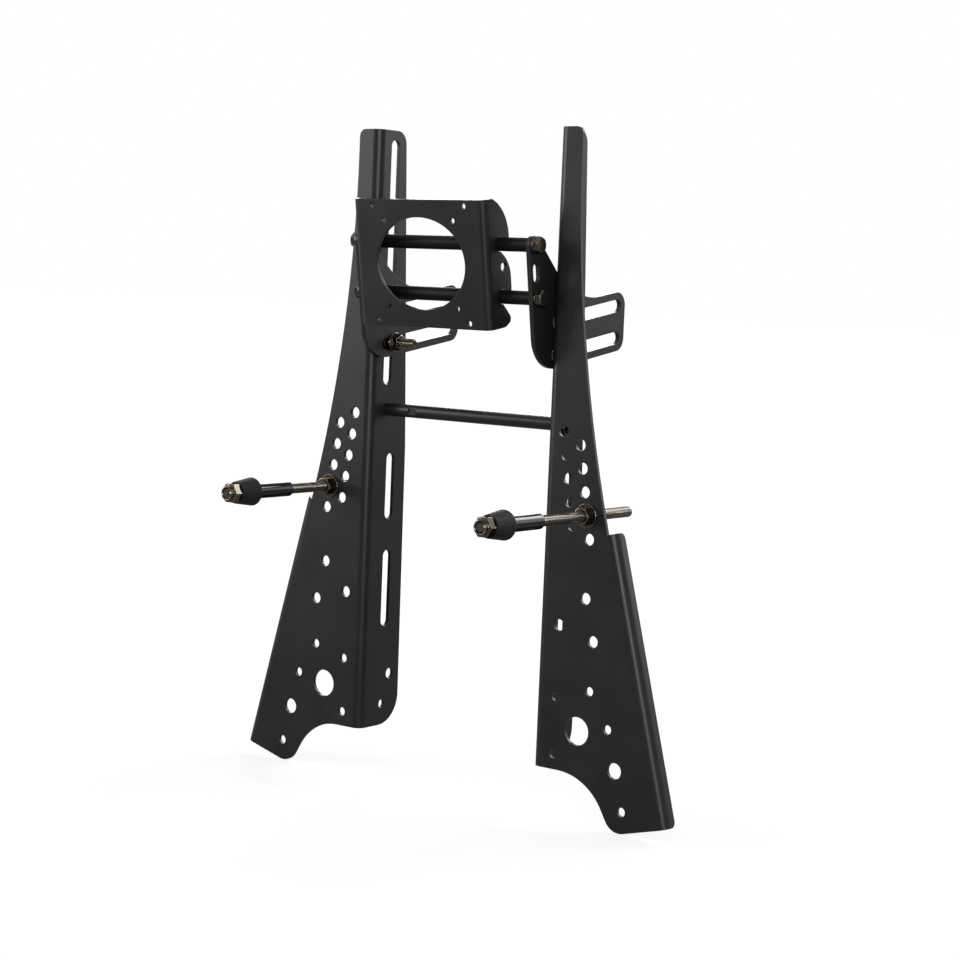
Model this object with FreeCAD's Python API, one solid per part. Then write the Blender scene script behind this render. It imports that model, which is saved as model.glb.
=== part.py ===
import FreeCAD, Part
import math
import os

# Folded sheet of the two uprights
upright_gap = 196.1          # between the faces of the two inner flanges
sheet = 3.2
bend_radius = 8.0            # outside of a fold
upright_top = 570.8
web_crest = 24.7             # lower edge of the web beside the inner flange
shoulder_width = 65.8        # inner flange face to the outer fold line, where the outer flange begins
shoulder_height = 236.0
flare_angle = 15.0           # lean of the lower outer edge
flare_radius = 1225.0        # long curve of the upper outer edge
web_top_corner = 6.5
fold_relief = 4.7
outer_flange_depth = 14.3
outer_flange_corner = 5.5
foot_hole_inset = 34.3       # foot hole to the outer fold line
foot_margin = 18.2           # foot hole to the foot's lower edge
foot_lobe_radius = 16.0
crest_arc_start = 27.2       # inner flange face to the start of the arched lower edge
crest_arc_radius = 53.0
crest_arc_angle = 60.0       # how far the arch turns down before its straight end

# Inner flange, which narrows towards its top
flange_depth_foot = 54.8
flange_depth_knee = 52.0
flange_knee = 283.0
flange_depth_top = 36.9
flange_foot_corner = 27.0
flange_top_corner = 12.0
clamp_slot_setback = 22.3    # web front to the middle of the clamp slot
clamp_slot_low = 341.0
clamp_slot_margin = 8.4      # upper end of the clamp slot below the upright's top
frame_slot_setback = 31.2
frame_slot_width = 11.0
upper_frame_slot_low = 217.3
upper_frame_slot_high = 278.2
lower_frame_slot_low = 117.5
lower_frame_slot_high = 188.4
flange_hole_setback = 41.2
flange_hole_height = 72.0
flange_pilot_height = 44.5

# Round holes of the web
rod_hole_play = 0.6          # hole against the rod it can carry
pilot_hole = 8.0
tool_hole = 13.9
cable_hole = 24.5
rod_hole_x = 45.4            # inner flange face to the hole that carries the support rod
rod_hole_height = 245.5
rod_row_pitch = 20.0
rod_row_lean = 9.25
rod_rows_above = 3
rod_rows_below = 1
rod_column_step_x = 17.7     # inner column of holes, from the outer one
rod_column_step_z = 10.2
rod_hole_places = [(47.8, 175.4), (21.9, 149.7), (57.2, 139.7)]
pilot_hole_places = [(55.9, 97.1), (21.7, 87.8), (75.9, 67.5), (21.7, 37.9)]
cable_hole_place = (44.7, 61.3)
tool_hole_place = (84.7, 33.6)

# Small hardware of the head, in 5/16 inch sizes
bolt = 7.94
bolt_flats = 12.7
bolt_head = 5.2
nut_height = 6.75
washer_outer = 17.5
washer_thick = 1.65
lock_washer_outer = 14.2
lock_washer_thick = 2.0
lock_washer_slit = 1.2
bolt_hole_play = 0.76
clamp_slot_play = 3.2        # slots of uprights and arms against the clamp bolts
bolt_engagement = 14.0       # depth of the tapped hole in a bar's end
bolt_end_gap = 1.0           # bolt end to the bottom of that hole
thread_play = 0.06           # all round, between a bolt and the thread it turns in
hex_sides = 6
hex_chamfer_ratio = 0.95     # flat end of a hex head, as a share of its width across flats
hex_chamfer_angle = 30.0

# Cross bar
bar = 12.0
cross_bar_setback = 25.2
cross_bar_height = 318.7
flat_length = 8.5            # spanner flats near the left end
flat_depth = 1.0
flat_from_end = 28.0

# Head: places in its own frame, u behind the screen plate's front face, w above the screen centre
head_tilt = 9.25             # nose down
clamp_height = 380.2         # lower clamp bolt
head_reach = 51.9            # plate front to the lower clamp bolt, along the arm's slots
lower_slot_w = -80.4
slot_spacing = 28.1
clamp_lift = 0.3             # upper bolt above the middle of its arm slot at this tilt
bar_u = 20.0
upper_bar_w = 16.2
bar_spacing = 45.0

# Arms
arm = 4.0
arm_spacer = 2.4             # washer between flange and arm
joint_gap = 0.1              # between clamped faces that slide on each other
arm_slot_length = 104.3
upper_slot_front = 40.0
arm_end_lean = 9.25
arm_rim = 6.3                # metal above and below the slots
arm_rear_rim = 7.0           # metal behind the slots
arm_top_radius = 7.7
arm_slope = 52.6             # fall of the edge behind the upper bar
arm_sweep_radius = 84.0
arm_heel_radius = 12.0
arm_toe_radius = 30.0
arm_window_top = 0.8
arm_window_length = 16.5
arm_window_width = 9.0

# Screen bracket
plate = 3.0
plate_fold = 6.0
plate_width = 144.0
plate_height = 110.5
plate_window_width = 97.0
plate_window_height = 80.0
screen_hole = 5.0
screen_patterns = (100.0, 75.0)
bracket_offset = -13.0       # the bracket stands left of the middle on its bars
hook_reach = 33.0
hook_play = 0.3
hook_top_radius = 36.2
hook_seat_slope = 13.0       # fall of a seat's upper edge towards its tip
hook_lip_slope = 40.0
hook_lip_radius = 26.0
hook_tip_radius = 1.5
hook_toe_setback = 0.8       # lowest tip ahead of the hooks' tips
hook_toe_rise = 5.65         # lowest tip above the plate's lower edge
hook_toe_radius = 4.5
hook_heel_u = 22.0
hook_heel_radius = 12.0
lock_hole = 8.0
lock_hole_u = 23.5
lock_hole_w = -3.5

# Clamp bolts
clamp_thread_end = 15.3      # thread that stands out of the nut

# Support rods, in 3/8 inch sizes
rod = 9.5
rod_length = 212.0
left_rod_reach = 136.1       # web front to the rod's tip
right_rod_reach = 148.8
rod_flats = 14.3
rod_nut = 8.3
rod_washer_outer = 20.6
rod_washer_play = 0.8
rod_washer_thick = 1.65
rod_recess = 0.6             # rod's tip inside the collar of its lock nut
rod_chamfer = 1.0
lock_nut_flats = 16.1
lock_nut_hex = 8.3
lock_nut_collar = 3.2
lock_nut_collar_outer = 13.0
lock_nut_collar_round = 0.9
lock_nut_mouth = 0.7         # countersink round the rod's tip
cone_front = 19.5
cone_rear = 25.7
cone_length = 22.0
cone_round = 2.0
sleeve_outer = 13.5
sleeve_length = 46.5
sleeve_chamfer = 0.6
sleeve_play = 0.1

# Sizes and places that follow from those above
rod_hole = rod + rod_hole_play
bolt_hole = bolt + bolt_hole_play
clamp_slot_width = bolt + clamp_slot_play
clamp_slot_high = upright_top - clamp_slot_margin
flange_face = upright_gap / 2
fold_line = flange_face + bend_radius
flare = math.radians(flare_angle)
tilt = math.radians(head_tilt)
shoulder_x = flange_face + shoulder_width
foot_drop = (shoulder_height - foot_hole_inset * math.sin(flare)) / math.cos(flare)
foot_hole_x = shoulder_x - foot_hole_inset * math.cos(flare) + foot_drop * math.sin(flare)
outer_flange_length = foot_drop + foot_margin
arm_outer_x = flange_face - arm_spacer - 2 * joint_gap
arm_inner_x = arm_outer_x - arm
upper_slot_w = lower_slot_w + slot_spacing
lower_bar_w = upper_bar_w - bar_spacing
clamp_rise = slot_spacing / math.cos(tilt) + clamp_lift
side_x = plate_width / 2
cut = 100.0                  # length of a cutting tool, well past any wall
tiny = 0.01                  # shorter than any real edge

parts_folder = "parts"
os.makedirs(parts_folder, exist_ok=True)


def vector(x, y, z):
    return FreeCAD.Vector(x, y, z)


def save(node, solids):
    """Write the solids of one node as one STEP file."""
    shape = solids[0] if len(solids) == 1 else Part.makeCompound(solids)
    shape.exportStep(os.path.join(parts_folder, node + ".step"))


def moved(shape, rotation, offset):
    """A copy of the shape, turned about the origin and then shifted."""
    copy = shape.copy()
    copy.Placement = FreeCAD.Placement(offset, rotation).multiply(copy.Placement)
    return copy


def along_x(shape, x, y, z, sense):
    """Stand a piece made along +Z on the X axis, pointing to +X or -X."""
    return moved(shape, FreeCAD.Rotation(vector(0, 1, 0), 90 * sense), vector(x, y, z))


def along_y(shape, x, y, z, sense):
    """Stand a piece made along +Z on the Y axis, pointing to +Y or -Y."""
    return moved(shape, FreeCAD.Rotation(vector(1, 0, 0), -90 * sense), vector(x, y, z))


def mirrored(shape):
    return shape.mirror(vector(0, 0, 0), vector(1, 0, 0))


def in_head(shape):
    """Carry a piece from the head's own frame, (x, u, w), to the tilted place on the uprights."""
    to_pivot = moved(shape, FreeCAD.Rotation(), vector(0, -head_reach, -lower_slot_w))
    return moved(to_pivot, FreeCAD.Rotation(vector(1, 0, 0), head_tilt),
                 vector(0, clamp_slot_setback, clamp_height))


def web_plane(point):
    return vector(point[0], 0, point[1])


def side_plane(point):
    return vector(0, point[0], point[1])


def line(plane, start, end):
    return Part.LineSegment(plane(start), plane(end)).toShape()


def arc(plane, start, middle, end):
    return Part.Arc(plane(start), plane(middle), plane(end)).toShape()


def polar(centre, radius, degrees):
    angle = math.radians(degrees)
    return centre[0] + radius * math.cos(angle), centre[1] + radius * math.sin(angle)


def rounded_outline(plane, corners):
    """Closed outline with straight sides; each corner (a, b, radius) becomes an arc tangent to both sides."""
    starts = []
    middles = []
    ends = []
    count = len(corners)
    for index, (a, b, radius) in enumerate(corners):
        before = corners[index - 1]
        after = corners[(index + 1) % count]
        back = FreeCAD.Vector(before[0] - a, before[1] - b, 0).normalize()
        ahead = FreeCAD.Vector(after[0] - a, after[1] - b, 0).normalize()
        half = back.getAngle(ahead) / 2
        reach = radius / math.tan(half)
        bisector = (back + ahead).normalize()
        apex = radius / math.sin(half) - radius
        starts.append((a + back.x * reach, b + back.y * reach))
        middles.append((a + bisector.x * apex, b + bisector.y * apex))
        ends.append((a + ahead.x * reach, b + ahead.y * reach))
    edges = []
    for index, corner in enumerate(corners):
        if corner[2] > 0:
            edges.append(arc(plane, starts[index], middles[index], ends[index]))
        edges.append(line(plane, ends[index], starts[(index + 1) % count]))
    return edges


def sheet_of(edges, thickness):
    """A flat sheet: the face inside the edges, given a thickness."""
    return Part.Face(Part.Wire(edges)).extrude(thickness)


def slot_along(plane, start, end, width, thickness):
    """A long hole with round ends; start and end are the far points of the two rounds."""
    length = math.hypot(end[0] - start[0], end[1] - start[1])
    ahead = ((end[0] - start[0]) / length, (end[1] - start[1]) / length)
    side = (-ahead[1], ahead[0])
    half = width / 2

    def at(distance, offset):
        return (start[0] + ahead[0] * distance + side[0] * offset,
                start[1] + ahead[1] * distance + side[1] * offset)

    edges = [line(plane, at(half, half), at(length - half, half)),
             arc(plane, at(length - half, half), at(length, 0), at(length - half, -half)),
             line(plane, at(length - half, -half), at(half, -half)),
             arc(plane, at(half, -half), at(0, 0), at(half, half))]
    return sheet_of(edges, thickness)


def fold(radius, thickness, start_angle, bottom, top):
    """A quarter fold about the Z axis, from start_angle to start_angle + 90 degrees."""
    height = top - bottom
    outside = Part.makeCylinder(radius, height, vector(0, 0, bottom), vector(0, 0, 1), 90)
    inside = Part.makeCylinder(radius - thickness, height, vector(0, 0, bottom), vector(0, 0, 1), 90)
    ring = outside.cut(inside)
    return moved(ring, FreeCAD.Rotation(vector(0, 0, 1), start_angle), vector(0, 0, 0))


def cylinder(radius, length):
    return Part.makeCylinder(radius, length)


def disc(outer, hole, thickness):
    """A flat washer."""
    return cylinder(outer / 2, thickness).cut(cylinder(hole / 2, thickness))


def split_disc(outer, hole, thickness, slit):
    """A spring washer, cut through on one side."""
    gap = Part.makeBox(outer, slit, thickness, vector(0, -slit / 2, 0))
    return disc(outer, hole, thickness).cut(gap)


def hexagon(flats, height, lower_chamfer):
    """A hexagon along +Z with its upper corners chamfered, and its lower ones too if asked."""
    step = 360 / hex_sides
    corner = flats / 2 / math.cos(math.radians(step / 2))
    points = [vector(*polar((0, 0), corner, step * side), 0) for side in range(hex_sides + 1)]
    prism = Part.Face(Part.makePolygon(points)).extrude(vector(0, 0, height))
    small = hex_chamfer_ratio * flats / 2
    large = small + height / math.tan(math.radians(hex_chamfer_angle))
    prism = prism.common(Part.makeCone(large, small, height))
    if lower_chamfer:
        prism = prism.common(Part.makeCone(small, large, height))
    return prism


def hex_bolt(diameter, flats, head, length):
    """A bolt along +Z: the shank runs down from the underside of the head at z = 0."""
    shank = Part.makeCylinder(diameter / 2, length, vector(0, 0, -length))
    return hexagon(flats, head, False).fuse(shank).removeSplitter()


def hex_nut(diameter, flats, height):
    """A nut along +Z, with its bore clear of the thread by the named play."""
    return hexagon(flats, height, True).cut(cylinder(diameter / 2 + thread_play, height))


def web_outline():
    """Outline of one upright's web: arched foot, leaning outer edge, long flare and narrow top."""
    down = (math.sin(flare), -math.cos(flare))
    out = (math.cos(flare), math.sin(flare))

    def on_fold(inset, drop):
        return (shoulder_x - out[0] * inset + down[0] * drop,
                shoulder_height - out[1] * inset + down[1] * drop)

    crest_x = flange_face + crest_arc_start
    crest = (crest_x, web_crest - crest_arc_radius)
    turn = math.radians(crest_arc_angle)
    arch_end = polar(crest, crest_arc_radius, 90 - crest_arc_angle)
    arch_middle = polar(crest, crest_arc_radius, 90 - crest_arc_angle / 2)
    foot_corner = on_fold(0, outer_flange_length)
    fall = math.sin(turn) + math.cos(turn) * math.tan(flare)
    run = (arch_end[1] - foot_corner[1] + (foot_corner[0] - arch_end[0]) * math.tan(flare)) / fall
    toe = (arch_end[0] + run * math.cos(turn), arch_end[1] - run * math.sin(turn))
    half_turn = (turn + flare) / 2
    lobe_reach = foot_lobe_radius * math.tan(half_turn)
    lobe_start = (toe[0] - lobe_reach * math.cos(turn), toe[1] + lobe_reach * math.sin(turn))
    lobe_end = (toe[0] + lobe_reach * out[0], toe[1] + lobe_reach * out[1])
    lobe = (lobe_end[0] - foot_lobe_radius * down[0], lobe_end[1] - foot_lobe_radius * down[1])
    lobe_middle_angle = flare_angle - 90 - math.degrees(half_turn)
    lobe_middle = polar(lobe, foot_lobe_radius, lobe_middle_angle)

    flare_top = min(shoulder_height + flare_radius * math.sin(flare), upright_top - web_top_corner)
    flare_centre = (shoulder_x + flare_radius * math.cos(flare),
                    shoulder_height + flare_radius * math.sin(flare))

    def flare_point(height):
        fall = flare_centre[1] - height
        return flare_centre[0] - math.sqrt(flare_radius ** 2 - fall ** 2), height

    edge_top = flare_point(flare_top)
    shoulder = (shoulder_x, shoulder_height)
    corner_centre = (edge_top[0] - web_top_corner, upright_top - web_top_corner)
    corner_side = (edge_top[0], upright_top - web_top_corner)
    corner_top = (corner_centre[0], upright_top)
    edges = [
        line(web_plane, (fold_line, web_crest), (crest_x, web_crest)),
        arc(web_plane, (crest_x, web_crest), arch_middle, arch_end),
        line(web_plane, arch_end, lobe_start),
        arc(web_plane, lobe_start, lobe_middle, lobe_end),
        line(web_plane, lobe_end, foot_corner),
        line(web_plane, foot_corner, shoulder),
        arc(web_plane, shoulder, flare_point((shoulder_height + flare_top) / 2), edge_top),
    ]
    if corner_side[1] - edge_top[1] > tiny:
        edges.append(line(web_plane, edge_top, corner_side))
    edges += [
        arc(web_plane, corner_side, polar(corner_centre, web_top_corner, 45), corner_top),
        line(web_plane, corner_top, (fold_line, upright_top)),
        line(web_plane, (fold_line, upright_top), (fold_line, web_crest)),
    ]
    return edges


def web_holes():
    """Places and diameters of the web's round holes, measured from the origin."""
    lean = math.radians(rod_row_lean)
    holes = []
    for row in range(-rod_rows_below, rod_rows_above + 1):
        x = flange_face + rod_hole_x - row * rod_row_pitch * math.sin(lean)
        z = rod_hole_height + row * rod_row_pitch * math.cos(lean)
        holes.append((x, z, rod_hole))
        holes.append((x - rod_column_step_x, z + rod_column_step_z, rod_hole))
    holes += [(flange_face + x, z, rod_hole) for x, z in rod_hole_places]
    holes += [(flange_face + x, z, pilot_hole) for x, z in pilot_hole_places]
    holes.append((flange_face + cable_hole_place[0], cable_hole_place[1], cable_hole))
    holes.append((flange_face + tool_hole_place[0], tool_hole_place[1], tool_hole))
    holes.append((foot_hole_x, 0, pilot_hole))
    return holes


def upright():
    """The right upright, folded from one sheet: web, full inner flange and short outer flange."""
    web = sheet_of(web_outline(), vector(0, sheet, 0))
    for x, z, diameter in web_holes():
        web = web.cut(along_y(cylinder(diameter / 2, cut), x, -cut / 2, z, 1))

    inner_fold = moved(fold(bend_radius, sheet, 180, web_crest, upright_top), FreeCAD.Rotation(),
                       vector(fold_line, bend_radius, 0))
    flange_corners = [(bend_radius, web_crest, 0), (flange_depth_foot, web_crest, flange_foot_corner),
                      (flange_depth_knee, flange_knee, 0), (flange_depth_top, upright_top, flange_top_corner),
                      (bend_radius, upright_top, 0)]
    flange = sheet_of(rounded_outline(side_plane, flange_corners), vector(sheet, 0, 0))
    slots = [(clamp_slot_setback, clamp_slot_low, clamp_slot_high, clamp_slot_width),
             (frame_slot_setback, upper_frame_slot_low, upper_frame_slot_high, frame_slot_width),
             (frame_slot_setback, lower_frame_slot_low, lower_frame_slot_high, frame_slot_width)]
    for setback, low, high, width in slots:
        slot = slot_along(side_plane, (setback, low), (setback, high), width, vector(sheet, 0, 0))
        flange = flange.cut(slot)
    holes = [(flange_hole_setback, flange_hole_height, rod_hole),
             (frame_slot_setback, flange_pilot_height, pilot_hole),
             (cross_bar_setback, cross_bar_height, bolt_hole)]
    for setback, height, diameter in holes:
        flange = flange.cut(along_x(cylinder(diameter / 2, sheet), 0, setback, height, 1))
    flange.translate(vector(flange_face, 0, 0))

    outer_fold = moved(fold(bend_radius, sheet, 270, -outer_flange_length, -fold_relief), FreeCAD.Rotation(),
                       vector(0, bend_radius, 0))
    outer_corners = [(bend_radius, -outer_flange_length, 0),
                     (outer_flange_depth, -outer_flange_length, outer_flange_corner),
                     (outer_flange_depth, -fold_relief, outer_flange_corner), (bend_radius, -fold_relief, 0)]
    outer_flange = sheet_of(rounded_outline(side_plane, outer_corners), vector(sheet, 0, 0))
    outer_flange.translate(vector(bend_radius - sheet, 0, 0))
    leaning = FreeCAD.Rotation(vector(0, 1, 0), -flare_angle)
    shoulder = vector(shoulder_x, 0, shoulder_height)
    outer = [moved(piece, leaning, shoulder) for piece in (outer_fold, outer_flange)]
    return web.fuse([inner_fold, flange] + outer).removeSplitter()


def drilled_bar(half_length):
    """A round bar along X with a tapped hole in each end."""
    bar_solid = along_x(cylinder(bar / 2, 2 * half_length), -half_length, 0, 0, 1)
    tapped = cylinder(bolt / 2 + thread_play, bolt_engagement)
    for sense in (1, -1):
        bar_solid = bar_solid.cut(along_x(tapped, sense * half_length, 0, 0, -sense))
    return bar_solid


def arm_solid():
    """The right arm in the head's frame: bar holes at the front, two long slots towards the back."""
    end_lean = math.tan(math.radians(arm_end_lean))
    fall = math.radians(arm_slope)
    front = bar_u - arm_top_radius
    slope_u = bar_u + arm_top_radius * math.sin(fall)
    slope_w = upper_bar_w + arm_top_radius * math.cos(fall)
    top = upper_slot_w + clamp_slot_width / 2 + arm_rim
    bottom = lower_slot_w - clamp_slot_width / 2 - arm_rim
    rear = upper_slot_front + arm_slot_length + arm_rear_rim

    def rear_edge(w):
        return rear + (w - upper_slot_w) * end_lean

    corners = [(front, slope_w + (slope_u - front) * math.tan(fall), arm_top_radius),
               (slope_u + (slope_w - top) / math.tan(fall), top, arm_sweep_radius),
               (rear_edge(top), top, arm_heel_radius), (rear_edge(bottom), bottom, arm_heel_radius),
               (front, bottom, arm_toe_radius)]
    solid = sheet_of(rounded_outline(side_plane, corners), vector(arm, 0, 0))
    for w in (upper_slot_w, lower_slot_w):
        start = upper_slot_front + (w - upper_slot_w) * end_lean
        solid = solid.cut(slot_along(side_plane, (start, w), (start + arm_slot_length, w), clamp_slot_width,
                                     vector(arm, 0, 0)))
    window_end = arm_window_top - arm_window_length
    solid = solid.cut(slot_along(side_plane, (bar_u, arm_window_top), (bar_u, window_end), arm_window_width,
                                 vector(arm, 0, 0)))
    for w in (upper_bar_w, lower_bar_w):
        solid = solid.cut(along_x(cylinder(bolt_hole / 2, arm), 0, bar_u, w, 1))
    solid.translate(vector(arm_inner_x, 0, 0))
    return solid


def hook_outline():
    """Side of the screen bracket: two seats hook over the bars and fall to their tips, with sloping lips."""
    seat = bar / 2 + hook_play
    high = plate_height / 2
    lip = math.tan(math.radians(hook_lip_slope))
    upper_top = upper_bar_w + seat
    upper_low = upper_bar_w - seat
    lower_low = lower_bar_w - seat
    upper_seat = polar((bar_u, upper_bar_w), seat, 90 - hook_seat_slope)
    lower_seat = polar((bar_u, lower_bar_w), seat, 90 - hook_seat_slope)
    tip_fall = (hook_reach - upper_seat[0]) * math.tan(math.radians(hook_seat_slope))
    upper_tip = (hook_reach, upper_seat[1] - tip_fall)
    lower_tip = (hook_reach, lower_seat[1] - tip_fall)
    crown = (hook_reach - hook_top_radius, upper_top)
    crown_u = crown[0] + math.sqrt(hook_top_radius ** 2 - (high - upper_top) ** 2)
    crown_angle = math.degrees(math.atan2(high - upper_top, crown_u - crown[0]))
    lip_end = (hook_reach, upper_low - (hook_reach - bar_u) * lip)
    toe_u = hook_reach - hook_toe_setback
    toe_w = hook_toe_rise - high
    return [
        line(side_plane, (plate_fold, high), (crown_u, high)),
        arc(side_plane, (crown_u, high), polar(crown, hook_top_radius, crown_angle / 2),
            (hook_reach, upper_top)),
        line(side_plane, (hook_reach, upper_top), upper_tip),
        line(side_plane, upper_tip, upper_seat),
        arc(side_plane, upper_seat, (bar_u - seat, upper_bar_w), (bar_u, upper_low)),
        line(side_plane, (bar_u, upper_low), lip_end),
        line(side_plane, lip_end, lower_tip),
        line(side_plane, lower_tip, lower_seat),
        arc(side_plane, lower_seat, (bar_u - seat, lower_bar_w), (bar_u, lower_low)),
        line(side_plane, (bar_u, lower_low), (toe_u, toe_w)),
        line(side_plane, (toe_u, toe_w), (hook_heel_u, -high)),
        line(side_plane, (hook_heel_u, -high), (plate_fold, -high)),
        line(side_plane, (plate_fold, -high), (plate_fold, high)),
    ], {upper_tip: hook_tip_radius, lip_end: hook_lip_radius, lower_tip: hook_tip_radius,
        (toe_u, toe_w): hook_toe_radius, (hook_heel_u, -high): hook_heel_radius}


def round_corners(solid, radii):
    """Round the edges of a side sheet that stand at the given (u, w) places."""
    for (u, w), radius in radii.items():
        edges = [edge for edge in solid.Edges
                 if all(math.hypot(end.Point.y - u, end.Point.z - w) < tiny for end in edge.Vertexes)]
        solid = solid.makeFillet(radius, edges)
    return solid


def bracket_solid():
    """The screen bracket in the head's frame: plate with window and screw holes, and two hooked sides."""
    half = side_x - plate_fold
    high = plate_height / 2
    face_corners = [(-half, -high, 0), (half, -high, 0), (half, high, 0), (-half, high, 0)]
    face = sheet_of(rounded_outline(web_plane, face_corners), vector(0, plate, 0))
    window = Part.Ellipse(vector(0, 0, 0), plate_window_width / 2, plate_window_height / 2).toShape()
    window_tool = Part.Face(Part.Wire([window])).extrude(vector(0, 0, cut))
    face = face.cut(along_y(window_tool, 0, -cut / 2, 0, 1))
    for pitch in screen_patterns:
        for x in (-pitch / 2, pitch / 2):
            for w in (-pitch / 2, pitch / 2):
                face = face.cut(along_y(cylinder(screen_hole / 2, cut), x, -cut / 2, w, 1))
    edges, radii = hook_outline()
    side = round_corners(sheet_of(edges, vector(plate, 0, 0)), radii)
    side = side.cut(along_x(cylinder(lock_hole / 2, plate), 0, lock_hole_u, lock_hole_w, 1))
    side.translate(vector(side_x - plate, 0, 0))
    corner = moved(fold(plate_fold, plate, 270, -high, high), FreeCAD.Rotation(), vector(half, plate_fold, 0))
    pieces = [side, corner, mirrored(side), mirrored(corner)]
    bracket = face.fuse(pieces).removeSplitter()
    bracket.translate(vector(bracket_offset, 0, 0))
    return bracket


def both_sides(build):
    """The same piece on the right (+1) and on the left (-1)."""
    return [build(1), build(-1)]


def lock_nut():
    """The tip nut along +Z: hexagon with a round collar at its outer end, countersunk round the rod's tip."""
    collar = cylinder(lock_nut_collar_outer / 2, lock_nut_collar)
    rim = [edge for edge in collar.Edges if edge.BoundBox.ZMin > lock_nut_collar / 2]
    collar = collar.makeFillet(lock_nut_collar_round, rim)
    collar.translate(vector(0, 0, lock_nut_hex))
    body = hexagon(lock_nut_flats, lock_nut_hex, True).fuse(collar).removeSplitter()
    bore = rod / 2 + thread_play
    length = lock_nut_hex + lock_nut_collar
    mouth = Part.makeCone(bore, bore + lock_nut_mouth, lock_nut_mouth)
    mouth.translate(vector(0, 0, length - lock_nut_mouth))
    return body.cut([cylinder(bore, length), mouth])


def rubber_cone():
    """The cone along +Z, from its wide rear end to its narrow front end, bored for the rod."""
    solid = Part.makeCone(cone_rear / 2, cone_front / 2, cone_length)
    rear = [edge for edge in solid.Edges if edge.BoundBox.ZMax < cone_length / 2 and edge.Closed]
    solid = solid.makeFillet(cone_round, rear)
    return solid.cut(cylinder(rod / 2 + sleeve_play, cone_length))


def sleeve():
    """The black sleeve along +Z, with small chamfers at both ends."""
    tube = cylinder(sleeve_outer / 2, sleeve_length)
    rims = [edge for edge in tube.Edges if edge.BoundBox.ZLength < sleeve_chamfer]
    tube = tube.makeChamfer(sleeve_chamfer, rims)
    return tube.cut(cylinder(rod / 2 + sleeve_play, sleeve_length))


def threaded_rod():
    """The support rod along +Z with chamfered ends."""
    solid = cylinder(rod / 2, rod_length)
    rims = [edge for edge in solid.Edges if edge.BoundBox.ZLength < rod_chamfer]
    return solid.makeChamfer(rod_chamfer, rims)


# Uprights
right_upright = upright()
save("right_upright", [right_upright])
save("left_upright", [mirrored(right_upright)])

# Cross bar between the inner flanges, bolted from inside the channels
cross_bar = drilled_bar(flange_face)
flat_start = -flange_face + flat_from_end
for side in (1, -1):
    near = bar / 2 - flat_depth if side > 0 else -bar / 2
    flat_tool = Part.makeBox(flat_length, flat_depth, bar, vector(flat_start, near, -bar / 2))
    cross_bar = cross_bar.cut(flat_tool)
cross_bar.translate(vector(0, cross_bar_setback, cross_bar_height))
save("cross_bar", [cross_bar])

flange_back = flange_face + sheet
cross_bolt = hex_bolt(bolt, bolt_flats, bolt_head, washer_thick + sheet + bolt_engagement - bolt_end_gap)
washer = disc(washer_outer, bolt_hole, washer_thick)
save("cross_bar_bolts", both_sides(lambda side: along_x(
    cross_bolt, side * (flange_back + washer_thick), cross_bar_setback, cross_bar_height, side)))
save("cross_bar_washers", both_sides(lambda side: along_x(
    washer, side * flange_back, cross_bar_setback, cross_bar_height, side)))

# Arms and the bars between them
right_arm = arm_solid()
save("right_arm", [in_head(right_arm)])
save("left_arm", [in_head(mirrored(right_arm))])
head_bolt_length = lock_washer_thick + arm + bolt_engagement - bolt_end_gap
head_bolt = hex_bolt(bolt, bolt_flats, bolt_head, head_bolt_length)
lock_washer = split_disc(lock_washer_outer, bolt_hole, lock_washer_thick, lock_washer_slit)
bar_bolts = []
bar_lock_washers = []
for node, w in (("upper_head_bar", upper_bar_w), ("lower_head_bar", lower_bar_w)):
    head_bar = drilled_bar(arm_inner_x)
    head_bar.translate(vector(0, bar_u, w))
    save(node, [in_head(head_bar)])
    for side in (1, -1):
        bar_lock_washers.append(in_head(along_x(lock_washer, side * arm_outer_x, bar_u, w, side)))
        head_x = side * (arm_outer_x + lock_washer_thick)
        bar_bolts.append(in_head(along_x(head_bolt, head_x, bar_u, w, side)))
save("head_bar_bolts", bar_bolts)
save("head_bar_spring_washers", bar_lock_washers)

# Screen bracket, hooked over both bars
save("screen_bracket", [in_head(bracket_solid())])

# Clamp bolts: head in the channel, then flange, spacing washer, arm, washer and nut
clamp_head_x = flange_back + joint_gap + washer_thick
clamp_nut_x = arm_inner_x - joint_gap - washer_thick
clamp_length = clamp_head_x - clamp_nut_x + nut_height + clamp_thread_end
clamp_bolt = hex_bolt(bolt, bolt_flats, bolt_head, clamp_length)
clamp_nut = hex_nut(bolt, bolt_flats, nut_height)
spacer = disc(washer_outer, bolt_hole, arm_spacer)
nut_washer = disc(washer_outer, bolt_hole, washer_thick)
for level, z in (("lower", clamp_height), ("upper", clamp_height + clamp_rise)):
    y = clamp_slot_setback
    save(level + "_clamp_bolts", both_sides(lambda side: along_x(
        clamp_bolt, side * clamp_head_x, y, z, side)))
    save(level + "_clamp_washers", both_sides(lambda side: along_x(
        washer, side * (flange_back + joint_gap), y, z, side)))
    save(level + "_clamp_spacers", both_sides(lambda side: along_x(
        spacer, side * (arm_outer_x + joint_gap), y, z, side)))
    save(level + "_clamp_nut_washers", both_sides(lambda side: along_x(
        nut_washer, side * (arm_inner_x - joint_gap), y, z, -side)))
    save(level + "_clamp_nuts", both_sides(lambda side: along_x(clamp_nut, side * clamp_nut_x, y, z, -side)))

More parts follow.
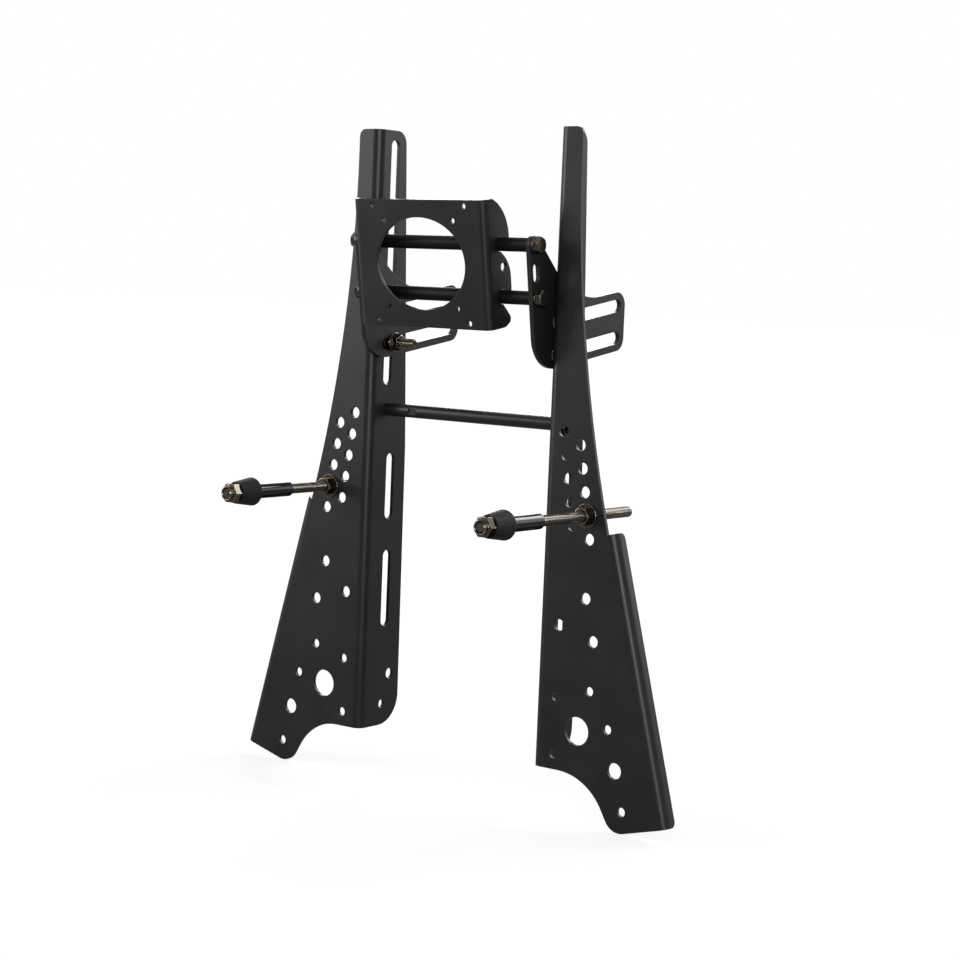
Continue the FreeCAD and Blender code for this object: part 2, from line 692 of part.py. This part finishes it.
# Support rods with their tip nut, cone and sleeve, each one a slide through its web
rod_x = flange_face + rod_hole_x
for node, x, reach in (("left", -rod_x, left_rod_reach), ("right", rod_x, right_rod_reach)):
    tip = -reach
    cone_front_y = tip - rod_recess + lock_nut_collar + lock_nut_hex
    cone_rear_y = cone_front_y + cone_length
    save(node + "_support_rod", [along_y(threaded_rod(), x, tip, rod_hole_height, 1)])
    save(node + "_tip_nut", [along_y(lock_nut(), x, cone_front_y, rod_hole_height, -1)])
    save(node + "_rubber_cone", [along_y(rubber_cone(), x, cone_rear_y, rod_hole_height, -1)])
    save(node + "_sleeve", [along_y(sleeve(), x, cone_rear_y, rod_hole_height, 1)])

# Nuts and washers that hold the rods on both faces of the webs
rod_nut_solid = hex_nut(rod, rod_flats, rod_nut)
rod_washer = disc(rod_washer_outer, rod + rod_washer_play, rod_washer_thick)
for place, face, sense in (("front", 0, -1), ("rear", sheet, 1)):
    save("rod_" + place + "_washers", both_sides(lambda side: along_y(
        rod_washer, side * rod_x, face, rod_hole_height, sense)))
    save("rod_" + place + "_nuts", both_sides(lambda side: along_y(
        rod_nut_solid, side * rod_x, face + sense * rod_washer_thick, rod_hole_height, sense)))
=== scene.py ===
import math

import bpy
import numpy as np
from mathutils import Matrix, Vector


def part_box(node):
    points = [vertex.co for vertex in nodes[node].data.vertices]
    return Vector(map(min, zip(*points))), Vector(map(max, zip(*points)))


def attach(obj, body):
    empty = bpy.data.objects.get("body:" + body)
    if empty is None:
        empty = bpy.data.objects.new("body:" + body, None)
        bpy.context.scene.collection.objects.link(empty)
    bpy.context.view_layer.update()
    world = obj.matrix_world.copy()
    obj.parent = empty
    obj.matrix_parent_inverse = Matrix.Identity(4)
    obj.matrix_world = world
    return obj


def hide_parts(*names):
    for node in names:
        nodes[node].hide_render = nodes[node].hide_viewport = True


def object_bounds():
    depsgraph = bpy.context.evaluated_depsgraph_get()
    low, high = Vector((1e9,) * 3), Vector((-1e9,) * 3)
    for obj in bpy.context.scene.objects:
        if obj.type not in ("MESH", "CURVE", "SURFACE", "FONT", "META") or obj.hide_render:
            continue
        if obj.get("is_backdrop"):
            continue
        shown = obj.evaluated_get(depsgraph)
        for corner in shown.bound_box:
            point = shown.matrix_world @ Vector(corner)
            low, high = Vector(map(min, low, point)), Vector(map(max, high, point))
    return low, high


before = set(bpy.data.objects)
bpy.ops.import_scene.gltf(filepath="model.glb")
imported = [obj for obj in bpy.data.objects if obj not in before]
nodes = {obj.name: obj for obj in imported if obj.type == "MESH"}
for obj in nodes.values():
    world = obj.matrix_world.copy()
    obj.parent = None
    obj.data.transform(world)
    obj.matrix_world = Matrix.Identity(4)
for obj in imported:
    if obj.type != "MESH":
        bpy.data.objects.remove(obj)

cad_low, cad_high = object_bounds()

# Uprights: two mirrored sheets of 3.2 mm steel, laser cut with their rod, cable and bolt holes and
# folded to a deep inner flange and a shallow outer one. They are powder coated satin black after
# folding, so the coat rounds the cut edges a little and lies in a fine orange peel.
mm = 0.001


def linear(hex_colour):
    """sRGB hex to linear RGBA: c / 12.92 up to 0.04045, ((c + 0.055) / 1.055) to the power 2.4 above."""
    c = np.array([int(hex_colour[i:i + 2], 16) for i in (1, 3, 5)]) / 255
    return (*np.where(c > 0.04045, ((c + 0.055) / 1.055) ** 2.4, c / 12.92).tolist(), 1.0)


def add(tree, kind, settings, links):
    """Adds one node. Settings go to its sockets (by name or number) or to its own properties, and links
    give for a socket the node and the output that feed it."""
    node = tree.nodes.new("ShaderNode" + kind)
    for key, value in settings.items():
        if isinstance(key, str) and hasattr(node, key):
            setattr(node, key, value)
    for key, value in settings.items():
        if not (isinstance(key, str) and hasattr(node, key)):
            node.inputs[key].default_value = value
    for key, (source, output) in links.items():
        tree.links.new(source.outputs[output], node.inputs[key])
    return node


def material(name):
    """An empty node material and its tree, which the section then fills up to the output."""
    made = bpy.data.materials.new(name)
    made.use_nodes = True
    made.node_tree.nodes.clear()
    return made, made.node_tree


def paint(made, *names):
    """Puts one material on whole CAD nodes."""
    for name in names:
        mesh = nodes[name].data
        mesh.materials.clear()
        mesh.materials.append(made)


# Satin powder coat: a pigmented polyester film, IOR 1.5, baked until it flows to a shallow orange peel
# about 1.6 mm across. That peel breaks up the sheen, and the film's thickness varies slowly over a
# hand's width: the tone is dark up to the noise level coat_from and light above coat_to.
coat_dark, coat_light = "#151516", "#1b1b1c"
coat_from, coat_to = 0.3, 0.7
coat_smooth, coat_dull = 0.31, 0.38
peel, peel_height, drift = 1.6 * mm, 0.06 * mm, 45 * mm
edge_round, edge_samples = 0.5 * mm, 6
powder_coat, tree = material("satin_black_powder_coat")
place = add(tree, "TexCoord", {}, {})
slow = add(tree, "TexNoise", {"Scale": 1 / drift, "Detail": 3.0, "Roughness": 0.55},
           {"Vector": (place, "Object")})
fine = add(tree, "TexNoise", {"Scale": 1 / peel, "Detail": 2.0, "Roughness": 0.5},
           {"Vector": (place, "Object")})
tone = add(tree, "ValToRGB", {}, {"Fac": (slow, "Fac")})
tone.color_ramp.elements[0].position, tone.color_ramp.elements[0].color = coat_from, linear(coat_dark)
tone.color_ramp.elements[1].position, tone.color_ramp.elements[1].color = coat_to, linear(coat_light)
gloss = add(tree, "MapRange", {"From Min": coat_from, "From Max": coat_to,
                               "To Min": coat_smooth, "To Max": coat_dull}, {"Value": (slow, "Fac")})
round_edge = add(tree, "Bevel", {"samples": edge_samples, "Radius": edge_round}, {})
skin = add(tree, "Bump", {"Strength": 0.12, "Distance": peel_height},
           {"Height": (fine, "Fac"), "Normal": (round_edge, "Normal")})
film = add(tree, "BsdfPrincipled", {"IOR": 1.5, "Specular IOR Level": 0.25},
           {"Base Color": (tone, "Color"), "Roughness": (gloss, "Result"), "Normal": (skin, "Normal")})
add(tree, "OutputMaterial", {}, {"Surface": (film, "BSDF")})
paint(powder_coat, "left_upright", "right_upright")

# Cross bar: round steel bar between the inner flanges, tapped at both ends, with two spanner flats near
# the left end. It belongs to the frame and has the uprights' coat.
paint(powder_coat, "cross_bar")

# Bolts, nuts and washers: cold-headed steel with a dark, glossy nickel plating, here those of the cross
# bar. Tumbling in the plating barrel leaves the faces a little cloudy, and the rounded edges are painted
# in a lighter tone as a painted highlight.
nickel_dark, nickel_edge_highlight = "#4d4840", "#cabfad"
nickel_smooth, nickel_dull = 0.08, 0.16
# The edges' lighter tone, which grows as their rounded normal turns away from the face, is a painted
# highlight.
tumble, tumble_height, highlight_edge_radius = 3.0 * mm, 0.03 * mm, 0.3 * mm
full_highlight_cosine, highlight_share, cloud_share = 0.93, 0.55, 0.3
plating_from, plating_to = 0.15, 0.8


def plated(name, dark, bright, smooth, dull):
    """Plated steel: metal whose tone goes from dark to bright with a cloud of the tumbling media's size
    and with a painted highlight on the edges, set by how far the rounded edge's normal turns away from
    the face's own, measured by their dot product; its roughness goes with the cloud from smooth to dull."""
    made, tree = material(name)
    place = add(tree, "TexCoord", {}, {})
    cloud = add(tree, "TexNoise", {"Scale": 1 / tumble, "Detail": 3.0}, {"Vector": (place, "Object")})
    round_edge = add(tree, "Bevel", {"samples": edge_samples, "Radius": highlight_edge_radius}, {})
    face = add(tree, "NewGeometry", {}, {})
    turn = add(tree, "VectorMath", {"operation": "DOT_PRODUCT"},
               {0: (round_edge, "Normal"), 1: (face, "Normal")})
    # Painted highlight: the edge's tone is lifted as its rounded normal turns away from the face.
    edge_highlight = add(tree, "MapRange", {"From Min": 1.0, "From Max": full_highlight_cosine,
                                    "To Min": 0.0, "To Max": highlight_share}, {"Value": (turn, "Value")})
    soft = add(tree, "Math", {"operation": "MULTIPLY", 1: cloud_share}, {0: (cloud, "Fac")})
    cloud_and_highlight = add(tree, "Math", {"operation": "ADD"}, {0: (edge_highlight, "Result"), 1: (soft, "Value")})
    tone = add(tree, "ValToRGB", {}, {"Fac": (cloud_and_highlight, "Value")})
    tone.color_ramp.elements[0].position, tone.color_ramp.elements[0].color = plating_from, linear(dark)
    tone.color_ramp.elements[1].position, tone.color_ramp.elements[1].color = plating_to, linear(bright)
    gloss = add(tree, "MapRange", {"To Min": smooth, "To Max": dull}, {"Value": (cloud, "Fac")})
    skin = add(tree, "Bump", {"Strength": 0.03, "Distance": tumble_height},
               {"Height": (cloud, "Fac"), "Normal": (round_edge, "Normal")})
    metal = add(tree, "BsdfPrincipled", {"Metallic": 1.0},
                {"Base Color": (tone, "Color"), "Roughness": (gloss, "Result"), "Normal": (skin, "Normal")})
    add(tree, "OutputMaterial", {}, {"Surface": (metal, "BSDF")})
    return made


dark_plating = plated("dark_nickel_plated_steel", nickel_dark, nickel_edge_highlight, nickel_smooth, nickel_dull)
paint(dark_plating, "cross_bar_bolts", "cross_bar_washers")

# Clamp bolts: two on each side, through the flange's slot, a spacing washer and the arm's slot, with the
# nut inside. They are cold-headed hexagon bolts with a rolled 18-to-the-inch thread that stands out of
# the nut, plated as the cross bar's are.
bolt_r, bolt_flats, bolt_head = 7.94 / 2 * mm, 12.7 * mm, 5.2 * mm
bolt_pitch, bolt_crest, bolt_depth, bolt_bevel = 25.4 / 18 * mm, 0.4, 0.35, 1.0 * mm
bolt_columns, rows_per_turn, thread_root = 48, 9, 0.85
head_foot, head_cone, cone_rows = 0.3 * mm, 1.4 * mm, 8
cone_angle, top_share, seat_share = math.radians(30), 0.96, 0.98
clamp_seat, clamp_end = 103.0 * mm, 67.65 * mm
gentle_fold = math.radians(32)


def mesh_piece(name, points, faces, made):
    """A mesh object at the origin from points and quads or triangles, smooth where faces meet gently."""
    mesh = bpy.data.meshes.new(name)
    mesh.from_pydata(points.tolist(), [], faces)
    mesh.materials.append(made)
    mesh.validate()
    mesh.shade_smooth()
    mesh.set_sharp_from_angle(angle=gentle_fold)
    piece = bpy.data.objects.new(name, mesh)
    bpy.context.scene.collection.objects.link(piece)
    return piece


def thread(turn, along, radius, pitch, crest, depth):
    """Rolled thread: a triangle wave of along / pitch - turn / (2 pi), from 0 to 1 and back, takes the
    radius from the crest, flat up to the level crest, down to the root, flat from thread_root on; depth
    is the fall as a share of a pitch."""
    wave = np.abs(2 * np.mod(along / pitch - turn / (2 * math.pi), 1) - 1)
    return radius - depth * pitch * np.clip((wave - crest) / (thread_root - crest), 0, 1)


def turned(radii, along):
    """A closed body of revolution: row i, column j is the point at radius radii[i, j], angle j, distance
    along[i]; both ends are drawn together to the axis. Gives points (across, across, along) and faces."""
    rows, columns = radii.shape
    angle = np.arange(columns) * 2 * math.pi / columns
    height = np.repeat(along[:, None], columns, 1)
    ring = np.stack([radii * np.cos(angle), radii * np.sin(angle), height], -1)
    ends = np.array([[0, 0, along[0]], [0, 0, along[-1]]])
    points = np.concatenate([ring.reshape(-1, 3), ends])
    j = np.arange(columns)
    k = (j + 1) % columns
    row = np.arange(rows - 1)[:, None] * columns
    quads = np.stack([row + j, row + k, row + columns + k, row + columns + j], -1)
    last = (rows - 1) * columns
    first_cap = np.stack([np.full(columns, rows * columns), k, j], -1)
    last_cap = np.stack([np.full(columns, rows * columns + 1), last + j, last + k], -1)
    return points, quads.reshape(-1, 4).tolist() + first_cap.tolist() + last_cap.tolist()


def clamp_bolt():
    """One bolt along +Z from its thread's end at 0: chamfered thread, then the hexagon, whose radius is
    half the flats over the cosine of the angle from the nearest flat's middle, cut by a 30 degree cone
    on top."""
    turn = np.arange(bolt_columns) * 2 * math.pi / bolt_columns
    length = clamp_seat - clamp_end
    shank = np.linspace(0, length, int(length / bolt_pitch * rows_per_turn))
    body = thread(turn[None, :], shank[:, None], bolt_r, bolt_pitch, bolt_crest, bolt_depth)
    body = np.minimum(body, (bolt_r - bolt_bevel + shank)[:, None])
    flat = np.mod(turn + math.pi / 6, math.pi / 3) - math.pi / 6
    hexagon = bolt_flats / 2 / np.cos(flat)
    rise = np.concatenate([[0, head_foot], np.linspace(bolt_head - head_cone, bolt_head, cone_rows)])
    cone = bolt_flats / 2 * top_share + (bolt_head - rise) / math.tan(cone_angle)
    head = np.minimum(hexagon[None, :], cone[:, None])
    head[0] = np.minimum(hexagon, bolt_flats / 2 * seat_share)
    return turned(np.concatenate([body, head]), np.concatenate([shank, length + rise]))


def both_sides(points, faces):
    """The same body pointing outwards on the right, along +X, and on the left, along -X: (a, b, c) becomes
    (end + c, a, b) and (-end - c, a, -b), which keeps its faces outwards."""
    right = np.stack([clamp_end + points[:, 2], points[:, 0], points[:, 1]], -1)
    left = np.stack([-clamp_end - points[:, 2], points[:, 0], -points[:, 1]], -1)
    shifted = [[v + len(points) for v in face] for face in faces]
    return np.concatenate([right, left]), faces + shifted


for level in ("lower", "upper"):
    node = level + "_clamp_bolts"
    low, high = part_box(node)
    points, faces = both_sides(*clamp_bolt())
    points += np.array([0, (low.y + high.y) / 2, (low.z + high.z) / 2])
    bolts = mesh_piece(level + "_clamp_threaded_bolts", points, faces, dark_plating)
    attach(bolts, "clamps")
    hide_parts(node)
    paint(dark_plating, node, level + "_clamp_washers", level + "_clamp_spacers",
          level + "_clamp_nut_washers", level + "_clamp_nuts")

# Head: two 4 mm arms with their long adjusting slots, coated as the uprights are, and two round bars
# between them, dipped in a dull black enamel so thin that the bar's drawing lines show. A hexagon bolt
# and a spring washer, zinc plated to an olive bronze, hold each bar's ends.
bar_black, bar_thin = "#0b0b0b", "#131312"
bar_from, bar_to = 0.35, 0.75
bar_smooth, bar_dull = 0.42, 0.5
drawn_line, drawn_height, drawn_stretch = 0.7 * mm, 0.03 * mm, 0.02
# The olive plating's light tone on the rounded edges is a painted highlight.
olive_dark, olive_edge_highlight = "#45423a", "#a59e8b"
olive_smooth, olive_dull = 0.16, 0.32
bar_enamel, tree = material("black_bar_enamel")
place = add(tree, "TexCoord", {}, {})
along = add(tree, "Mapping", {"Scale": (drawn_stretch, 1.0, 1.0)}, {"Vector": (place, "Object")})
lines = add(tree, "TexNoise", {"Scale": 1 / drawn_line, "Detail": 2.0}, {"Vector": (along, "Vector")})
tone = add(tree, "ValToRGB", {}, {"Fac": (lines, "Fac")})
tone.color_ramp.elements[0].position, tone.color_ramp.elements[0].color = bar_from, linear(bar_black)
tone.color_ramp.elements[1].position, tone.color_ramp.elements[1].color = bar_to, linear(bar_thin)
gloss = add(tree, "MapRange", {"To Min": bar_smooth, "To Max": bar_dull}, {"Value": (lines, "Fac")})
skin = add(tree, "Bump", {"Strength": 0.06, "Distance": drawn_height}, {"Height": (lines, "Fac")})
film = add(tree, "BsdfPrincipled", {"IOR": 1.5, "Specular IOR Level": 0.1},
           {"Base Color": (tone, "Color"), "Roughness": (gloss, "Result"), "Normal": (skin, "Normal")})
add(tree, "OutputMaterial", {}, {"Surface": (film, "BSDF")})
olive_plating = plated("olive_zinc_plated_steel", olive_dark, olive_edge_highlight, olive_smooth, olive_dull)
paint(powder_coat, "left_arm", "right_arm")
paint(bar_enamel, "upper_head_bar", "lower_head_bar")
paint(olive_plating, "head_bar_bolts", "head_bar_spring_washers")

# Screen bracket: 3 mm sheet with an oval window and two square screw patterns, folded back at both sides
# to hooks that hang on the head's bars. It has the same coat.
paint(powder_coat, "screen_bracket")

# Support rods: threaded steel rod, 16 turns to the inch, through the web between two nuts and washers.
# They are bright plated, and the rolled crests catch the light while the roots stay dark.
rod_r, rod_bevel, rod_columns = 9.5 / 2 * mm, 0.9 * mm, 32
rod_pitch, rod_crest, rod_depth = 25.4 / 16 * mm, 0.6, 0.2
rod_bright, rod_grey = "#67635d", "#58544e"
rod_from, rod_to = 0.3, 0.7
rod_smooth, rod_dull = 0.1, 0.17
rod_cloud = 3.5 * mm
rod_steel, tree = material("bright_plated_rod_steel")
place = add(tree, "TexCoord", {}, {})
cloud = add(tree, "TexNoise", {"Scale": 1 / rod_cloud, "Detail": 2.0}, {"Vector": (place, "Object")})
tone = add(tree, "ValToRGB", {}, {"Fac": (cloud, "Fac")})
tone.color_ramp.elements[0].position, tone.color_ramp.elements[0].color = rod_from, linear(rod_grey)
tone.color_ramp.elements[1].position, tone.color_ramp.elements[1].color = rod_to, linear(rod_bright)
gloss = add(tree, "MapRange", {"To Min": rod_smooth, "To Max": rod_dull}, {"Value": (cloud, "Fac")})
metal = add(tree, "BsdfPrincipled", {"Metallic": 1.0},
            {"Base Color": (tone, "Color"), "Roughness": (gloss, "Result")})
add(tree, "OutputMaterial", {}, {"Surface": (metal, "BSDF")})


def threaded_rod(length):
    """The rod along +Z: the thread's radius, cut at both ends by a 45 degree chamfer."""
    turn = np.arange(rod_columns) * 2 * math.pi / rod_columns
    along = np.linspace(0, length, int(length / rod_pitch * rows_per_turn))
    radii = thread(turn[None, :], along[:, None], rod_r, rod_pitch, rod_crest, rod_depth)
    end = rod_r - rod_bevel + np.minimum(along, length - along)
    return turned(np.minimum(radii, end[:, None]), along)


for side in ("left", "right"):
    node = side + "_support_rod"
    low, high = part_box(node)
    points, faces = threaded_rod(high.y - low.y)
    middle_x, middle_z = (low.x + high.x) / 2, (low.z + high.z) / 2
    points = np.stack([middle_x + points[:, 1], low.y + points[:, 2], middle_z + points[:, 0]], -1)
    rod = mesh_piece(side + "_threaded_rod", points, faces, rod_steel)
    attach(rod, side + "_rod")
    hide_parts(node)
    paint(rod_steel, node)
paint(dark_plating, "rod_front_nuts", "rod_front_washers", "rod_rear_nuts", "rod_rear_washers",
      "left_tip_nut", "right_tip_nut")

# Rubber cones: moulded black rubber bumpers on the rods' ends, held by the tip nut. The mould leaves them
# matte and finely grained, with a faint bloom.
rubber_dark, rubber_bloom = "#111111", "#1b1b1a"
rubber_from, rubber_to = 0.35, 0.7
rubber_smooth, rubber_dull = 0.55, 0.7
bloom_size, grain_size, grain_height = 6 * mm, 0.8 * mm, 0.05 * mm
rubber, tree = material("moulded_black_rubber")
place = add(tree, "TexCoord", {}, {})
bloom = add(tree, "TexNoise", {"Scale": 1 / bloom_size, "Detail": 4.0}, {"Vector": (place, "Object")})
grain = add(tree, "TexNoise", {"Scale": 1 / grain_size, "Detail": 2.0}, {"Vector": (place, "Object")})
tone = add(tree, "ValToRGB", {}, {"Fac": (bloom, "Fac")})
tone.color_ramp.elements[0].position, tone.color_ramp.elements[0].color = rubber_from, linear(rubber_dark)
tone.color_ramp.elements[1].position, tone.color_ramp.elements[1].color = rubber_to, linear(rubber_bloom)
gloss = add(tree, "MapRange", {"To Min": rubber_smooth, "To Max": rubber_dull}, {"Value": (bloom, "Fac")})
skin = add(tree, "Bump", {"Strength": 0.2, "Distance": grain_height}, {"Height": (grain, "Fac")})
body = add(tree, "BsdfPrincipled", {"IOR": 1.52, "Specular IOR Level": 0.2},
           {"Base Color": (tone, "Color"), "Roughness": (gloss, "Result"), "Normal": (skin, "Normal")})
add(tree, "OutputMaterial", {}, {"Surface": (body, "BSDF")})
paint(rubber, "left_rubber_cone", "right_rubber_cone")

# Sleeves: cut lengths of glossy black nylon tube that keep the cones away from the web. Extrusion leaves
# faint lines along the tube.
sleeve_black, sleeve_worn = "#0d0d0e", "#171718"
sleeve_from, sleeve_to = 0.3, 0.75
sleeve_smooth, sleeve_dull = 0.08, 0.13
tube_line, tube_height, tube_stretch = 0.6 * mm, 0.02 * mm, 0.03
sleeve_plastic, tree = material("extruded_black_nylon")
place = add(tree, "TexCoord", {}, {})
along = add(tree, "Mapping", {"Scale": (1.0, tube_stretch, 1.0)}, {"Vector": (place, "Object")})
lines = add(tree, "TexNoise", {"Scale": 1 / tube_line, "Detail": 2.0}, {"Vector": (along, "Vector")})
tone = add(tree, "ValToRGB", {}, {"Fac": (lines, "Fac")})
tone.color_ramp.elements[0].position, tone.color_ramp.elements[0].color = sleeve_from, linear(sleeve_black)
tone.color_ramp.elements[1].position, tone.color_ramp.elements[1].color = sleeve_to, linear(sleeve_worn)
gloss = add(tree, "MapRange", {"To Min": sleeve_smooth, "To Max": sleeve_dull}, {"Value": (lines, "Fac")})
skin = add(tree, "Bump", {"Strength": 0.05, "Distance": tube_height}, {"Height": (lines, "Fac")})
body = add(tree, "BsdfPrincipled", {"IOR": 1.53, "Specular IOR Level": 0.22},
           {"Base Color": (tone, "Color"), "Roughness": (gloss, "Result"), "Normal": (skin, "Normal")})
add(tree, "OutputMaterial", {}, {"Surface": (body, "BSDF")})
paint(sleeve_plastic, "left_sleeve", "right_sleeve")

# Studio: a matt paper floor that runs to the horizon and a white surround. The paper itself is grey, so
# it throws little light up at the stand. What camera and glass see of both is lifted to white, less near
# the stand, where its soft shadow lies, and metal and coat mirror a share of that white.
paper_grey, white = "#808080", "#ffffff"
mirrored_paper, mirrored_sky, fill_level = 0.18, 0.8, 0.6
near_lift, far_lift = 0.77, 0.92
near_reach, far_reach, floor_half = 0.7, 4.0, 30.0


def seen_level(tree, mirrored):
    """How much of the white a ray sees: all of it from the camera and through glass, and by reflection
    the mirrored share."""
    ray = add(tree, "LightPath", {}, {})
    sheen = add(tree, "Math", {"operation": "MULTIPLY", 1: mirrored}, {0: (ray, "Is Glossy Ray")})
    plain = add(tree, "Math", {"operation": "MAXIMUM"},
                {0: (ray, "Is Camera Ray"), 1: (ray, "Is Transmission Ray")})
    return add(tree, "Math", {"operation": "MAXIMUM"}, {0: (plain, "Value"), 1: (sheen, "Value")})


paper, tree = material("white_studio_paper")
seen = seen_level(tree, mirrored_paper)
place = add(tree, "TexCoord", {}, {})
away = add(tree, "VectorMath", {"operation": "LENGTH"}, {0: (place, "Object")})
reach = add(tree, "MapRange", {"interpolation_type": "SMOOTHSTEP", "From Min": near_reach,
                               "From Max": far_reach, "To Min": near_lift, "To Max": far_lift},
            {"Value": (away, "Value")})
lift = add(tree, "Math", {"operation": "MULTIPLY"}, {0: (seen, "Value"), 1: (reach, "Result")})
matt = add(tree, "BsdfDiffuse", {"Color": linear(paper_grey)}, {})
glow = add(tree, "Emission", {"Color": linear(white)}, {"Strength": (lift, "Value")})
both = add(tree, "AddShader", {}, {0: (matt, "BSDF"), 1: (glow, "Emission")})
add(tree, "OutputMaterial", {}, {"Surface": (both, "Shader")})
ground = np.array([0, 0, cad_low.z])
corners = np.array([[-1, -1, 0], [1, -1, 0], [1, 1, 0], [-1, 1, 0]]) * floor_half + ground
floor = mesh_piece("studio_floor", corners, [[0, 1, 2, 3]], paper)
floor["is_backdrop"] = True

world = bpy.data.worlds.new("white_surround")
bpy.context.scene.world = world
world.use_nodes = True
tree = world.node_tree
tree.nodes.clear()
seen = seen_level(tree, mirrored_sky)
level = add(tree, "Math", {"operation": "MAXIMUM", 1: fill_level}, {0: (seen, "Value")})
sky = add(tree, "Background", {"Color": linear(white)}, {"Strength": (level, "Value")})
add(tree, "OutputWorld", {}, {"Surface": (sky, "Background")})

# Lamps: a large soft box in front, far to the left, lights the webs, and one beside the camera draws the
# light line along the folds. At the back are a low one for flanges and arms, a wide high one for rods,
# sleeves and nuts, and one on the left for the bolts' glints and the stand's back.
lamp_aim = np.array([0.0, 0.0, 0.28])
soft_boxes = (("front_soft_box", (-2.03, -1.4, 0.97), 1.0, 1.4, 36.0),
              ("camera_side_box", (1.55, -1.78, 0.75), 0.8, 1.2, 30.0),
              ("low_back_box", (1.6, 2.0, 0.95), 1.5, 0.9, 9.0),
              ("high_back_box", (0.46, 1.95, 1.55), 1.2, 0.6, 22.0),
              ("back_left_box", (-1.5, 1.9, 1.25), 0.9, 0.8, 15.0))


def set_up(thing, right, up, back, spot):
    """Links a lamp or camera, whose matrix has its three axes and then its place as columns."""
    bpy.context.scene.collection.objects.link(thing)
    matrix = np.eye(4)
    matrix[:3] = np.stack([right, up, back, spot], -1)
    thing.matrix_world = Matrix(matrix.tolist())


for name, spot, width, height, watts in soft_boxes:
    lamp = bpy.data.lights.new(name, "AREA")
    lamp.shape = "RECTANGLE"
    lamp.size, lamp.size_y, lamp.energy = width, height, watts
    back = np.array(spot) - lamp_aim
    back /= np.linalg.norm(back)
    right = np.cross([0, 0, 1], back)
    right /= np.linalg.norm(right)
    set_up(bpy.data.objects.new(name, lamp), right, np.cross(back, right), back, spot)

# Camera: the photograph's, found from the stand's own corners. It stands to the right in front, level
# with the bracket and turned down a little, with a slight roll.
camera_right, camera_up = (0.795718, 0.604259, 0.041288), (-0.087877, 0.047735, 0.994987)
camera_back, camera_spot = (0.599259, -0.795357, 0.091084), (1.152795, -1.490963, 0.436652)
camera = bpy.data.cameras.new("photo_camera")
camera.sensor_width, camera.lens = 36.0, 80.561
camera_object = bpy.data.objects.new("photo_camera", camera)
set_up(camera_object, camera_right, camera_up, camera_back, camera_spot)
bpy.context.scene.camera = camera_object
bpy.context.scene.view_settings.view_transform = "Standard"

low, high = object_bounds()
